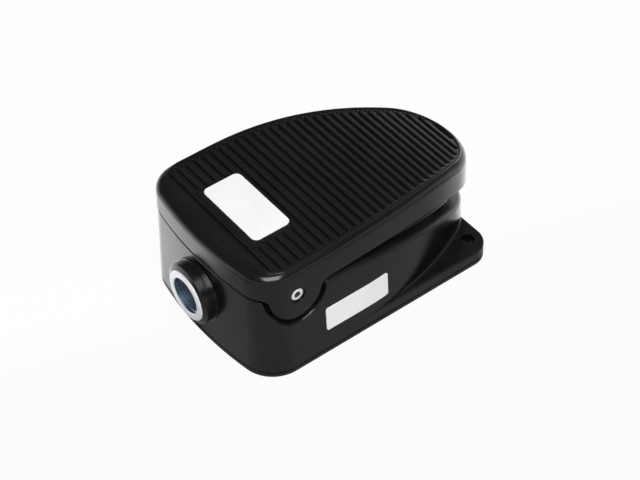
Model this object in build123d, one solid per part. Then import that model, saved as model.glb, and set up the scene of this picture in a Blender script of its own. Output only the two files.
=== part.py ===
from build123d import *
import os
from dataclasses import dataclass
from math import atan2, cos, pi, radians, sin, sqrt, tan

# Industrial foot switch: a ribbed treadle hinged on a cast base that holds a snap-action switch.
# Millimetres, +Z up, +Y towards the conduit end, -Y towards the free end of the treadle.
# The origin is at the middle of the bounding box, on the floor.

# Overall sizes
overall_length = 180.0
nose_y = -overall_length / 2
face_y = overall_length / 2
tread_z = 69.8
treadle_half = 53.9

# Hinge and travel of the treadle
hinge_y = 55.8
hinge_z = 53.0
travel_deg = 4.2
travel = radians(travel_deg)
pin_r = 3.7
pin_bore_r = 1.7
pin_bore_depth = 8.0
running_clearance = 0.05
face_gap = 0.3

# Floor stack: cover plate, gasket, cast base
plate_t = 2.2
gasket_t = 0.8
gasket_inset = 0.8
base_z = plate_t + gasket_t

# Base casting
side_step = 1.0
base_half = treadle_half + side_step
base_rear = 83.1
rear_radius = 227.0
base_corner = 20.0
base_side_y = 15.0
base_side_radius = 178.0
base_nose = -85.5
base_draft = 2.6
rim_w = 6.2
wall = 4.0
rim_gap = 0.8
lobe_gap = 2.3
lobe_lip = 1.2
rear_gap = 1.8
deck_drop = 3.0
deck_cap = 46.0
deck_t = 4.0
hood_y = 62.0
hood_z = 53.0
rim_round = 3.0
rear_round = 1.2

# Flange with the two mounting ears
flange_front = -74.0
flange_corner = 12.0
flange_top = 9.5
flange_round = 1.2
ear_edge = 10.6
ear_x = base_half - ear_edge
ear_y = -65.0
ear_hole_r = 3.7

# Treadle casting
treadle_rear = 82.6
treadle_corner = 19.5
treadle_side_y = 40.0
treadle_side_radius = 291.0
treadle_draft = 2.5
skirt_h = 16.2
rear_skirt_z = 55.2
crown_y = 32.0
crown_radius = 306.0
treadle_t = 4.2
skirt_t = 3.4
lobe_r = 15.0
lobe_front_blend = 7.0
lobe_rear_blend = 4.0
edge_round = 5.0

# Ribbed field on the treadle
field_edge = 6.9
field_rear_edge = 9.6
field_nose_edge = 5.5
field_half = treadle_half - field_edge
field_rear = treadle_rear - field_rear_edge
field_corner = treadle_corner - field_edge + 0.4
field_side_radius = treadle_side_radius - field_edge + 0.9
field_nose = nose_y + field_nose_edge
rib_pitch = 5.27
groove_w = 3.0
groove_depth = 1.6
groove_draft = 14.0
bead_w = 1.3
bead_h = 0.6
bead_offset = 0.9

# Labels
label_t = 0.3
top_label_l = 47.0
top_label_w = 22.9
top_label_y = 48.5
top_label_round = 3.4
label_margin = 1.8
side_label_l = 41.0
side_label_h = 15.7
side_label_y = 19.0
side_label_z = 24.2
side_label_round = 1.6

# Conduit entry
conduit_z = 30.4
conduit_bore_r = 10.3
conduit_ring_r = 14.6
thread_pitch = 1.81
thread_depth = 0.9
thread_turns = 7
collar_r = 17.4
collar_tip_r = 15.3
collar_bevel = 1.2
collar_face_y = 89.2
step_r = 18.2
step_y = 82.6
pad_r = 19.0
pad_y = 76.0
locknut_af = 34.0
locknut_t = 4.0
bushing_in_y = 70.5

# Hinge bearings in the base
bearing_r = 8.6
bearing_l = 8.8
bearing_edge = 5.1
bearing_out_x = treadle_half - bearing_edge
bearing_in_x = bearing_out_x - bearing_l
bush_r = 5.3
skin_t = 3.5
skin_half = 18.0
lobe_counterbore_r = 4.9
lobe_counterbore = 0.7

# Push pin and its guide
push_y = 34.0
push_r = 3.5
push_top_z = 54.5
push_bottom_z = 38.9
push_collar_r = 4.8
push_collar_t = 1.9
guide_r = 6.0
guide_flange_r = 8.0
guide_flange_t = 1.5
seal_r = 6.6
seal_t = 2.6

# Adjusting screw on the treadle
adjust_r = 3.0
adjust_boss_r = 6.5
adjust_boss_z = 60.2
adjust_top_z = 64.0
nut_af = 10.0
nut_t = 3.4

# Limit bolt on the treadle, through a slot in the deck
limit_y = -10.0
limit_r = 3.0
limit_boss_r = 6.0
limit_boss_z = 53.2
limit_top_z = 60.0
limit_nut_t = 5.0
limit_pad_r = 10.0
limit_pad_z = 32.0
limit_washer_r = 9.0
limit_washer_t = 2.0
limit_head_t = 4.0
slot_w = 8.0
slot_l = 14.0

# Return springs
spring_x = 26.0
spring_y = 0.0
spring_boss_r = 10.0
spring_seat_z = 45.6
spring_r = 6.6
spring_wire_r = 0.8
spring_turns = 5.5
spring_steps = 12
spigot_r = 4.6
spigot_h = 4.0
socket_r = 8.4
socket_wall = 2.0
socket_ceiling_z = 62.4
socket_rim_z = 58.0

# Bumpers at the end of the travel
bumper_x = 18.0
bumper_y = -55.0
bumper_boss_r = 6.5
bumper_seat_z = 30.4
bumper_r = 5.0
bumper_h = 5.0
bumper_stem_r = 2.2
bumper_stem_l = 4.0
post_r = 5.0
post_z = 44.2

# Snap-action switch
case_l = 49.2
case_w = 17.4
case_bottom_z = 10.0
case_split_z = 28.0
case_top_z = 34.2
case_round = 1.2
case_hole_x = 12.7
case_hole_z = 20.0
button_r = 2.6
button_foot_r = 3.6
button_foot_t = 1.5
button_foot_z = 30.6
button_gap = 0.3
case_well_r = 4.0
case_well_z = 28.6
case_well_top_z = 32.6

# Terminals of the switch
terminal_x = 18.0
terminal_l = 9.0
terminal_w = 8.0
terminal_t = 1.2
terminal_screw_r = 1.7
terminal_screw_l = 6.0
terminal_head_r = 3.1
terminal_head_t = 2.2

# Bracket of the switch
bracket_t = 1.5
bracket_half = 28.0
bracket_bottom_z = 14.0
bracket_reach = 14.0
bracket_screw_x = 19.0
m4_r = 2.0
m4_head_r = 3.8
m4_head_t = 2.6
m4_nut_af = 7.0
m4_nut_t = 3.2

# Cover screws
cover_boss_r = 5.0
cover_boss_z = 17.0
cover_screw_l = 12.0
cover_head_r = 3.9
cover_inset = 8.2
cover_rear_y = 65.5
cover_side_y = 8.0
cover_nose_y = -58.0

# Ground screw
ground_edge = 26.9
ground_x = ground_edge - base_half
ground_y = 64.0
ground_boss_r = 5.0
ground_boss_z = 30.0
ground_washer_r = 5.0
ground_washer_t = 1.2
ground_screw_l = 9.0

# Insulating liner
liner_edge = 18.9
liner_half = base_half - liner_edge
liner_front = -44.0
liner_rear = 56.0
liner_t = 0.8
liner_round = 6.0


@dataclass
class Outline:
    """Closed plan outline: bowed rear, two round corners, straight sides, long arcs and a round nose."""
    half: float
    rear: float
    corner: float
    side_y: float
    side_radius: float
    nose: float

    def face(self, inset=0.0):
        half, rear, corner = self.half - inset, self.rear - inset, self.corner - inset
        big, bow, nose = self.side_radius - inset, rear_radius - inset, self.nose + inset
        reach = self.side_y - nose
        nose_r = (reach**2 - big**2 + (big - half)**2) / (2 * (reach - big))
        bow_y, corner_x = rear - bow, half - corner
        corner_y = bow_y + sqrt((bow - corner)**2 - corner_x**2)
        lean = atan2(corner_y - bow_y, corner_x)
        side_x, nose_cy = half - big, nose + nose_r
        turn = atan2(self.side_y - nose_cy, -side_x)

        def arc(cx, cy, r, a, b):
            mid = (a + b) / 2
            return [(cx + r * cos(t), cy + r * sin(t)) for t in (a, mid, b)]

        rear_arc = ThreePointArc(*arc(0, bow_y, bow, lean, pi - lean))
        left_corner = ThreePointArc(*arc(-corner_x, corner_y, corner, pi - lean, pi))
        left_side = ThreePointArc(*arc(-side_x, self.side_y, big, pi, pi + turn))
        nose_arc = ThreePointArc(*arc(0, nose_cy, nose_r, turn - pi, -turn))
        right_side = ThreePointArc(*arc(side_x, self.side_y, big, -turn, 0))
        right_corner = ThreePointArc(*arc(corner_x, corner_y, corner, 0, lean))
        edges = [rear_arc, left_corner, Line(left_corner @ 1, left_side @ 0), left_side, nose_arc,
                 right_side, Line(right_side @ 1, right_corner @ 0), right_corner]
        return make_face(Wire(edges))

    def half_at(self, y):
        """Half width of the outline at y, for places in front of the rear corners."""
        if y >= self.side_y:
            return self.half
        reach = self.side_y - self.nose
        big = self.side_radius
        nose_r = (reach**2 - big**2 + (big - self.half)**2) / (2 * (reach - big))
        nose_cy = self.nose + nose_r
        turn = atan2(self.side_y - nose_cy, big - self.half)
        if y > nose_cy - nose_r * sin(turn):
            return self.half - big + sqrt(big**2 - (self.side_y - y)**2)
        return sqrt(max(nose_r**2 - (nose_cy - y)**2, 0.0))


def box(x0, x1, y0, y1, z0, z1):
    return Pos((x0 + x1) / 2, (y0 + y1) / 2, (z0 + z1) / 2) * Box(abs(x1 - x0), abs(y1 - y0), abs(z1 - z0))


def post(x, y, z0, z1, r):
    """Upright cylinder between two heights."""
    return Pos(x, y, (z0 + z1) / 2) * Cylinder(r, abs(z1 - z0))


def rod_x(x0, x1, y, z, r):
    return Pos((x0 + x1) / 2, y, z) * Rot(0, 90, 0) * Cylinder(r, abs(x1 - x0))


def rod_y(x, y0, y1, z, r):
    return Pos(x, (y0 + y1) / 2, z) * Rot(90, 0, 0) * Cylinder(r, abs(y1 - y0))


def hexagon(af, t):
    return extrude(RegularPolygon(af / 2, 6, major_radius=False), t)


def side_prism(sketch, x0, x1):
    """Sweep a side view, drawn as (y, z), between two x positions."""
    return Pos(x0, 0, 0) * extrude(Plane.YZ * sketch, x1 - x0, dir=(1, 0, 0))


def tapered(face, z0, z1, draft):
    return extrude(Pos(0, 0, z0) * face, z1 - z0, taper=draft)


def mirrored(shape):
    return shape + mirror(shape, about=Plane.YZ)


def pair(shape):
    """A piece and its mirror image on the other side, as two solids."""
    return [shape, mirror(shape, about=Plane.YZ)]


# Side views, drawn in (y, z), reach past the part at both ends
far = overall_length
side_reach = far / 4


def crown_z(y, drop=0.0):
    r = crown_radius - drop
    s = max(crown_y - y, 0.0)
    return tread_z - crown_radius + sqrt(r**2 - s**2)


def under_crown(drop):
    """Region below the crowned top of the treadle, let down by drop."""
    r, front = crown_radius - drop, nose_y - side_reach
    cz = tread_z - crown_radius
    end = atan2(sqrt(r**2 - (crown_y - front)**2), front - crown_y)
    mid = (end + pi / 2) / 2
    arc = ThreePointArc((crown_y, cz + r), (crown_y + r * cos(mid), cz + r * sin(mid)),
                        (front, cz + r * sin(end)))
    lines = Polyline((front, cz + r * sin(end)), (front, -far), (far, -far), (far, cz + r), (crown_y, cz + r))
    return make_face(Wire([arc] + lines.edges()))


def rect(y0, y1, z0, z1):
    return Pos((y0 + y1) / 2, (z0 + z1) / 2) * Rectangle(y1 - y0, z1 - z0)


def pressed(sketch):
    """Side view turned about the hinge to the end of the travel."""
    return Pos(hinge_y, hinge_z) * Rot(0, 0, travel_deg) * Pos(-hinge_y, -hinge_z) * sketch


def nearest(sketch, y, z):
    return sketch.vertices().sort_by_distance((y, z, 0))[0]


low_z = tread_z - skirt_h
band = under_crown(0) - under_crown(skirt_h)
band = band - rect(hinge_y, far, low_z - 1, rear_skirt_z)
treadle_side = band + Pos(hinge_y, hinge_z) * Circle(lobe_r)
front_corner = nearest(treadle_side, hinge_y - lobe_r, low_z)
treadle_side = fillet(front_corner, lobe_front_blend)
rear_corner = nearest(treadle_side, hinge_y + lobe_r, rear_skirt_z)
treadle_side = fillet(rear_corner, lobe_rear_blend)


def base_side(drop, cap, back_y, back_z):
    """Region of the base: below the pressed treadle in front, below level tops behind the hinge."""
    front = pressed(under_crown(skirt_h + drop)) & rect(-far, hinge_y, -far, cap)
    return front + rect(hinge_y, back_y, -far, min(cap, back_z)) + rect(back_y, far, -far, back_z)


rim_side = base_side(rim_gap, far, hinge_y + 1, rear_skirt_z - rear_gap)
rim_side = rim_side - Pos(hinge_y, hinge_z) * Circle(lobe_r + lobe_gap)
rim_side = fillet(nearest(rim_side, hinge_y - lobe_r - lobe_gap, hinge_z - 2), lobe_front_blend - lobe_gap)
rim_side = fillet(nearest(rim_side, hinge_y + lobe_r + lobe_gap, rear_skirt_z - rear_gap), lobe_rear_blend - lobe_gap)
deck_side = base_side(rim_gap + deck_drop, deck_cap, hood_y, hood_z)
roof_side = base_side(rim_gap + deck_drop + deck_t, deck_cap - deck_t, hood_y + deck_t, hood_z - deck_t)

base_plan = Outline(base_half, base_rear, base_corner, base_side_y, base_side_radius, base_nose)
treadle_plan = Outline(treadle_half, treadle_rear, treadle_corner, treadle_side_y, treadle_side_radius, nose_y)
field_plan = Outline(field_half, field_rear, field_corner, treadle_side_y, field_side_radius, field_nose)

cover_spots = [(base_plan.half_at(y) - cover_inset, y) for y in (cover_rear_y, cover_side_y, cover_nose_y)]

# Base casting
full = 2 * base_half
flange_plan = Pos(0, (flange_front + base_side_y) / 2) * Rectangle(full, base_side_y - flange_front)
flange_plan = fillet(flange_plan.vertices().group_by(Axis.Y)[0], flange_corner)
foot_plan = base_plan.face() + flange_plan

solid_base = tapered(base_plan.face(), base_z, far / 2, base_draft)
front_half = box(-far, far, -far, hinge_y, -far, far)
rear_half = box(-far, far, hinge_y, far, -far, far)


def top_loop(shape):
    """Outer edges of the upper faces, where they meet the walls."""
    walls = [f for f in shape.faces() if abs(f.normal_at(f.center()).Z) < 0.2]
    tops = [f for f in shape.faces() if f.normal_at(f.center()).Z >= 0.2]
    return [e for f in tops for e in f.edges() if any(e in w.edges() for w in walls)]


front_block = solid_base & side_prism(pressed(under_crown(skirt_h + rim_gap)), -far, far)
front_block = fillet(top_loop(front_block), rim_round) & front_half
rear_block = tapered(base_plan.face(), base_z, rear_skirt_z - rear_gap, base_draft)
rear_block = fillet(top_loop(rear_block), rear_round) & rear_half
housing = (front_block + rear_block) & side_prism(rim_side, -far, far)
housing = housing - tapered(base_plan.face(rim_w), base_z, far / 2, base_draft)
housing = housing + (tapered(base_plan.face(wall), base_z, far / 2, base_draft) & side_prism(deck_side, -far, far))
cavity = tapered(base_plan.face(wall), base_z, far / 2, base_draft) & side_prism(roof_side, -far, far)
housing = housing - cavity

flange = extrude(Pos(0, 0, base_z) * flange_plan, flange_top - base_z)
flange = fillet(flange.faces().sort_by(Axis.Z)[-1].edges().filter_by(
    lambda e: e.center().Y < base_side_y - 1), flange_round)
housing = housing + (flange - tapered(base_plan.face(wall), base_z, far / 2, base_draft))

bearing = rod_x(bearing_in_x, bearing_out_x, hinge_y, hinge_z, bearing_r)
bearing = bearing + box(bearing_in_x, bearing_out_x, hinge_y - bearing_r, hinge_y + bearing_r,
                        deck_cap - deck_t, hinge_z)
low_nose_z = crown_z(nose_y, skirt_h)
within_lobes = tapered(treadle_plan.face(skirt_t + face_gap), low_nose_z, tread_z, treadle_draft)
skin = within_lobes - tapered(treadle_plan.face(skirt_t + face_gap + skin_t), low_nose_z, tread_z, treadle_draft)
skin = skin & side_prism(rect(hinge_y - skin_half, hinge_y + skin_half, low_nose_z, deck_cap), -far, far)
recess = side_prism(Pos(hinge_y, hinge_z) * Circle(lobe_r + lobe_gap), -far, far) - within_lobes
housing = housing + (mirrored(bearing) & within_lobes) + skin - recess
lip_x = base_half - (hinge_z - base_z) * tan(radians(base_draft)) + lobe_lip
lip = Cone(lobe_r + lobe_gap, lobe_r + lobe_gap + 2 * lobe_lip, 2 * lobe_lip)
housing = housing - mirrored(Pos(lip_x - lobe_lip, hinge_y, hinge_z) * Rot(0, 90, 0) * lip)

collar = rod_y(0, pad_y, collar_face_y - collar_bevel, conduit_z, collar_r)
collar = collar + Pos(0, collar_face_y - collar_bevel / 2, conduit_z) * Rot(-90, 0, 0) * Cone(
    collar_r, collar_tip_r, collar_bevel)
collar = collar + rod_y(0, pad_y + wall, step_y, conduit_z, step_r)
housing = housing + collar + rod_y(0, pad_y, pad_y + wall, conduit_z, pad_r)
housing = housing - rod_y(0, 0.8 * pad_y, far, conduit_z, conduit_ring_r)

for x, y in cover_spots:
    boss = post(x, y, base_z, cover_boss_z, cover_boss_r) & tapered(base_plan.face(1), base_z, far / 2, base_draft)
    hole = post(x, y, base_z, cover_screw_l, m4_r)
    housing = housing + mirrored(boss) - mirrored(hole)

roof = tapered(base_plan.face(wall / 2), base_z, far / 2, base_draft) & side_prism(deck_side, -far, far)
housing = housing + post(ground_x, ground_y, ground_boss_z, deck_cap - deck_t / 2, ground_boss_r)
housing = housing - post(ground_x, ground_y, ground_boss_z, ground_boss_z + ground_screw_l, m4_r)
housing = housing + (post(0, limit_y, limit_pad_z, far / 2, limit_pad_r) & roof)
slot = Pos(0, limit_y) * Rot(0, 0, 90) * SlotOverall(slot_l, slot_w)
housing = housing - extrude(Pos(0, 0, limit_pad_z - 1) * slot, deck_cap)
spring_boss = post(spring_x, spring_y, deck_cap - 2 * deck_t, spring_seat_z, spring_boss_r)
spring_boss = spring_boss + post(spring_x, spring_y, spring_seat_z, spring_seat_z + spigot_h, spigot_r)
bumper_boss = post(bumper_x, bumper_y, bumper_seat_z - 2 * deck_t, bumper_seat_z, bumper_boss_r)
bumper_hole = post(bumper_x, bumper_y, bumper_seat_z - bumper_stem_l, bumper_seat_z, bumper_stem_r)
housing = housing + mirrored(spring_boss) + mirrored(bumper_boss) - mirrored(bumper_hole)
housing = housing - post(0, push_y, deck_cap - 2 * deck_t, deck_cap, guide_r)
housing = housing - mirrored(rod_x(bearing_in_x - 1, full, hinge_y, hinge_z, bush_r))
bracket_y = push_y + case_w / 2 + bracket_t + bracket_reach / 2
housing = housing - mirrored(post(bracket_screw_x, bracket_y, deck_cap - 2 * deck_t, deck_cap, m4_r))
housing = housing - mirrored(post(ear_x, ear_y, 0, far, ear_hole_r))

# Gasket and cover plate under the base
ears = mirrored(post(ear_x, ear_y, 0, base_z, ear_hole_r))
plate = extrude(foot_plan, plate_t) - ears
for x, y in cover_spots:
    hole = post(x, y, 0, plate_t, m4_r) + Pos(x, y, plate_t / 2) * Cone(cover_head_r, m4_r, plate_t)
    plate = plate - mirrored(hole)
gasket = offset(foot_plan, -gasket_inset)
gasket = extrude(Pos(0, 0, plate_t) * gasket, gasket_t) - ears
gasket = gasket - extrude(Pos(0, 0, plate_t) * base_plan.face(wall), gasket_t)
liner = RectangleRounded(2 * liner_half, liner_rear - liner_front, liner_round)
liner = extrude(Pos(0, (liner_rear + liner_front) / 2, plate_t) * liner, liner_t)

cover_screws = []
for x, y in cover_spots:
    screw = post(x, y, plate_t, cover_screw_l, m4_r) + Pos(x, y, plate_t / 2) * Cone(cover_head_r, m4_r, plate_t)
    cover_screws += pair(screw - box(x - 0.5, x + 0.5, y - 2.4, y + 2.4, 0, 1))

# Treadle casting
shell = tapered(treadle_plan.face(), low_nose_z, tread_z + 5, treadle_draft)
shell = shell & side_prism(under_crown(0), -far, far)
top_faces = shell.faces().filter_by(lambda f: f.normal_at(f.center()).Z > 0.9)
top_edges = [e for e in top_faces.edges() if len([f for f in top_faces if e in f.edges()]) == 1]
shell = fillet(top_edges, edge_round)
hollow = tapered(treadle_plan.face(skirt_t), low_nose_z, tread_z, treadle_draft)
hollow = hollow & side_prism(under_crown(treadle_t), -far, far)
treadle = (shell & side_prism(treadle_side, -far, far)) - hollow

core = tapered(treadle_plan.face(skirt_t / 2), low_nose_z, tread_z, treadle_draft)
core = core & side_prism(under_crown(treadle_t / 2), -far, far)
bosses = post(0, push_y, adjust_boss_z, far, adjust_boss_r) + post(0, limit_y, limit_boss_z, far, limit_boss_r)
socket = post(spring_x, spring_y, socket_rim_z, far, socket_r + socket_wall)
socket = socket - post(spring_x, spring_y, 0, socket_ceiling_z, socket_r)
bosses = bosses + mirrored(socket) + mirrored(post(bumper_x, bumper_y, post_z, far, post_r))
treadle = treadle + (bosses & core)
treadle = treadle - post(0, push_y, 0, adjust_top_z, adjust_r) - post(0, limit_y, 0, limit_top_z, limit_r)
treadle = treadle - rod_x(-full, full, hinge_y, hinge_z, pin_r)
pin_end_x = treadle_half - (hinge_z - low_nose_z) * tan(radians(treadle_draft)) - lobe_counterbore / 2
treadle = treadle - mirrored(rod_x(pin_end_x, full, hinge_y, hinge_z, lobe_counterbore_r))

# Raised bead round the ribbed field, then the grooves across it
bead = field_plan.face(-bead_offset - bead_w) - field_plan.face(-bead_offset)
bead = extrude(Pos(0, 0, low_nose_z) * bead, tread_z)
bead = bead & side_prism(under_crown(-bead_h) - under_crown(1), -far, far)
treadle = treadle + bead

pad_half_l = top_label_l / 2 + label_margin
pad_half_w = top_label_w / 2 + label_margin
last = field_rear - 1.2 * rib_pitch
count = int((last - field_nose) / rib_pitch) + 2
for i in range(count):
    run = last - i * rib_pitch
    if run >= crown_y:
        gy, gz, tilt = run, tread_z, 0.0
    else:
        tilt = (crown_y - run) / crown_radius
        gy = crown_y - crown_radius * sin(tilt)
        gz = tread_z - crown_radius * (1 - cos(tilt))
    reach = field_plan.half_at(gy)
    if gy > field_rear - field_corner:
        reach = field_half - field_corner + sqrt(field_corner**2 - (gy - field_rear + field_corner)**2)
    if reach < 2 * groove_w:
        continue
    spans = [(-reach, reach)]
    if abs(gy - top_label_y) < pad_half_w:
        spans = [(-reach, -pad_half_l), (pad_half_l, reach)]
    for x0, x1 in spans:
        bar = extrude(SlotOverall(x1 - x0, groove_w), groove_depth, dir=(0, 0, -1), taper=groove_draft)
        place = Pos((x0 + x1) / 2, gy, gz) * Rot(tilt * 180 / pi, 0, 0)
        treadle = treadle - place * bar

# Hinge pin and its bushes
pin = rod_x(-pin_end_x, pin_end_x, hinge_y, hinge_z, pin_r)
pin = chamfer(pin.edges(), 0.4)
pin = pin - mirrored(rod_x(pin_end_x - pin_bore_depth, full, hinge_y, hinge_z, pin_bore_r))
bush = rod_x(bearing_in_x, bearing_out_x, hinge_y, hinge_z, bush_r)
bush = bush - rod_x(0, full, hinge_y, hinge_z, pin_r + running_clearance)

# Conduit bushing and locknut
bushing = rod_y(0, bushing_in_y, face_y, conduit_z, conduit_ring_r)
bushing = chamfer(bushing.edges().filter_by(GeomType.CIRCLE), 0.6)
bushing = bushing - rod_y(0, 0, far, conduit_z, conduit_bore_r)
start = face_y - 1.5
vee = Polyline((conduit_bore_r - 0.1, start), (conduit_bore_r + thread_depth, start - thread_pitch / 2),
               (conduit_bore_r - 0.1, start - thread_pitch), close=True)
ring = revolve(Plane.XY * make_face(vee), Axis.Y)
for i in range(thread_turns):
    bushing = bushing - Pos(0, -i * thread_pitch, conduit_z) * ring
locknut = Pos(0, pad_y, conduit_z) * Rot(90, 0, 0) * hexagon(locknut_af, locknut_t)
locknut = locknut - rod_y(0, 0, far, conduit_z, conduit_ring_r)

# Push pin, guide and seal
guide = post(0, push_y, deck_cap - deck_t, deck_cap, guide_r)
guide = guide + post(0, push_y, deck_cap, deck_cap + guide_flange_t, guide_flange_r)
guide = guide - post(0, push_y, 0, far, push_r + running_clearance)
seal_z = deck_cap + guide_flange_t
seal = post(0, push_y, seal_z, seal_z + seal_t, seal_r) - post(0, push_y, 0, far, push_r + face_gap)
seal = chamfer(seal.edges().group_by(Axis.Z)[-1], 0.6)
push = post(0, push_y, push_bottom_z, push_top_z, push_r)
push = push + post(0, push_y, push_top_z - push_collar_t, push_top_z, push_collar_r)
push = chamfer(push.edges().group_by(Axis.Z)[-1], 0.5)

# Adjusting screw and its nut
tip_z = push_top_z + face_gap
adjust = post(0, push_y, tip_z, adjust_top_z, adjust_r)
adjust = chamfer(adjust.edges().group_by(Axis.Z)[0], 0.8)
adjust_nut = Pos(0, push_y, adjust_boss_z - nut_t) * hexagon(nut_af, nut_t)
adjust_nut = adjust_nut - post(0, push_y, 0, far, adjust_r)

# Limit bolt, its nut and the washer that meets the pad under the deck
washer_top = limit_pad_z - face_gap
head_top = washer_top - limit_washer_t
limit = post(0, limit_y, head_top, limit_top_z, limit_r)
limit = limit + Pos(0, limit_y, head_top - limit_head_t) * hexagon(nut_af, limit_head_t)
limit_nut = Pos(0, limit_y, limit_boss_z - limit_nut_t) * hexagon(nut_af, limit_nut_t)
limit_nut = limit_nut - post(0, limit_y, 0, far, limit_r)
limit_washer = post(0, limit_y, head_top, washer_top, limit_washer_r) - post(0, limit_y, 0, far, limit_r)

# Return springs: a coil between the deck and the treadle
spring_top = socket_ceiling_z - 0.2
coil_h = spring_top - spring_seat_z - 2 * spring_wire_r
turn_step, last_step = 2 * pi / spring_steps, int(spring_steps * spring_turns)
path = Polyline(*[(spring_r * cos(i * turn_step), spring_r * sin(i * turn_step), coil_h * i / last_step)
                  for i in range(last_step + 1)])
wire = Plane(path @ 0, z_dir=path % 0) * RegularPolygon(spring_wire_r, 8)
coil = sweep(wire, path=path, transition=Transition.RIGHT)
spring = Pos(spring_x, spring_y, spring_seat_z + spring_wire_r) * coil

# Bumpers
bumper = post(bumper_x, bumper_y, bumper_seat_z, bumper_seat_z + bumper_h, bumper_r)
bumper = chamfer(bumper.edges().sort_by(Axis.Z)[-1], 1.0)
bumper = bumper + post(bumper_x, bumper_y, bumper_seat_z - bumper_stem_l, bumper_seat_z, bumper_stem_r)

# Snap-action switch
front_y, back_y = push_y - case_w / 2, push_y + case_w / 2
case = box(-case_l / 2, case_l / 2, front_y, back_y, case_bottom_z, case_split_z)
case = fillet(case.edges().filter_by(Axis.Z), case_round)
case = case - mirrored(rod_y(case_hole_x, 0, far, case_hole_z, m4_r))
for x in (-terminal_x, 0, terminal_x):
    case = case - post(x, push_y, case_bottom_z, case_bottom_z + terminal_screw_l, terminal_screw_r)
cap = box(-case_l / 2, case_l / 2, front_y, back_y, case_split_z, case_top_z)
cap = fillet(cap.edges().filter_by(Axis.Z), case_round)
cap = chamfer(cap.faces().sort_by(Axis.Z)[-1].edges(), 0.8)
cap = cap - post(0, push_y, case_well_z, case_well_top_z, case_well_r)
cap = cap - post(0, push_y, case_well_z, far, button_r + running_clearance)
button_top = push_bottom_z - button_gap
button = post(0, push_y, button_foot_z, button_top, button_r)
button = chamfer(button.edges().sort_by(Axis.Z)[-1], 0.8)
button = button + post(0, push_y, button_foot_z, button_foot_z + button_foot_t, button_foot_r)

terminals, terminal_screws = [], []
strip_z = case_bottom_z - terminal_t
for x in (-terminal_x, 0, terminal_x):
    strip = box(x - terminal_w / 2, x + terminal_w / 2, push_y - terminal_l / 2, push_y + terminal_l / 2,
                strip_z, case_bottom_z)
    terminals.append(strip - post(x, push_y, 0, far, terminal_screw_r))
    screw = post(x, push_y, strip_z, case_bottom_z + terminal_screw_l, terminal_screw_r)
    screw = screw + post(x, push_y, strip_z - terminal_head_t, strip_z, terminal_head_r)
    terminal_screws.append(screw - box(x - 0.5, x + 0.5, push_y - 4, push_y + 4, 0, strip_z - terminal_head_t / 2))

# Bracket between the switch and the deck
under_deck = deck_cap - deck_t
bracket = box(-bracket_half, bracket_half, back_y, back_y + bracket_t, bracket_bottom_z, under_deck)
bracket = bracket + box(-bracket_half, bracket_half, back_y, back_y + bracket_t + bracket_reach,
                        under_deck - bracket_t, under_deck)
bracket = bracket - mirrored(rod_y(case_hole_x, 0, far, case_hole_z, m4_r))
bracket = bracket - mirrored(post(bracket_screw_x, bracket_y, 0, far, m4_r))
plate_z = under_deck - bracket_t
bracket_screw = post(bracket_screw_x, bracket_y, plate_z, deck_cap, m4_r)
bracket_screw = bracket_screw + post(bracket_screw_x, bracket_y, plate_z - m4_head_t, plate_z, m4_head_r)
bracket_screw = bracket_screw - box(bracket_screw_x - 4, bracket_screw_x + 4, bracket_y - 0.5, bracket_y + 0.5,
                                    0, plate_z - m4_head_t / 2)
switch_screw = rod_y(case_hole_x, front_y, back_y + bracket_t + m4_nut_t + 1, case_hole_z, m4_r)
switch_screw = switch_screw + rod_y(case_hole_x, front_y - m4_head_t, front_y, case_hole_z, m4_head_r)
nut_y = back_y + bracket_t
switch_nut = Pos(case_hole_x, nut_y + m4_nut_t, case_hole_z) * Rot(90, 0, 0) * hexagon(m4_nut_af, m4_nut_t)
switch_nut = switch_nut - rod_y(case_hole_x, 0, far, case_hole_z, m4_r)

# Ground screw with its cup washer
washer_z = ground_boss_z - ground_washer_t
ground_washer = post(ground_x, ground_y, washer_z, ground_boss_z, ground_washer_r)
ground_washer = ground_washer - post(ground_x, ground_y, 0, far, m4_r)
ground_screw = post(ground_x, ground_y, washer_z, ground_boss_z + ground_screw_l, m4_r)
ground_screw = ground_screw + post(ground_x, ground_y, washer_z - m4_head_t, washer_z, m4_head_r)
ground_screw = ground_screw - box(ground_x - 0.5, ground_x + 0.5, ground_y - 5, ground_y + 5,
                                  0, washer_z - m4_head_t / 2)

# Labels, left bare
top_label = extrude(Pos(0, top_label_y, tread_z) * RectangleRounded(top_label_l, top_label_w, top_label_round),
                    label_t)
skin_out = tapered(base_plan.face(-label_t), base_z, far / 2, base_draft)
skin_in = tapered(base_plan.face(), base_z, far / 2, base_draft)
window = side_prism(Pos(side_label_y, side_label_z) * RectangleRounded(side_label_l, side_label_h, side_label_round),
                    -far, 0)
side_label = (skin_out & window) - skin_in

nodes = {
    "base_housing": [housing], "bottom_gasket": [gasket], "bottom_plate": [plate],
    "cover_screws": cover_screws, "insulating_liner": [liner],
    "conduit_bushing": [bushing], "conduit_locknut": [locknut],
    "hinge_bushes": pair(bush), "pin_guide": [guide], "guide_seal": [seal],
    "push_pin": [push], "switch_case": [case], "switch_cap": [cap], "switch_button": [button],
    "switch_terminals": terminals, "terminal_screws": terminal_screws,
    "switch_bracket": [bracket], "bracket_screws": pair(bracket_screw),
    "switch_screws": pair(switch_screw), "switch_nuts": pair(switch_nut),
    "ground_screw": [ground_screw], "ground_washer": [ground_washer],
    "return_springs": pair(spring), "stop_bumpers": pair(bumper),
    "treadle": [treadle], "hinge_pin": [pin],
    "adjusting_screw": [adjust], "adjusting_nut": [adjust_nut],
    "limit_bolt": [limit], "limit_nut": [limit_nut], "limit_washer": [limit_washer],
    "top_label": [top_label], "side_label": [side_label],
}

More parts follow.
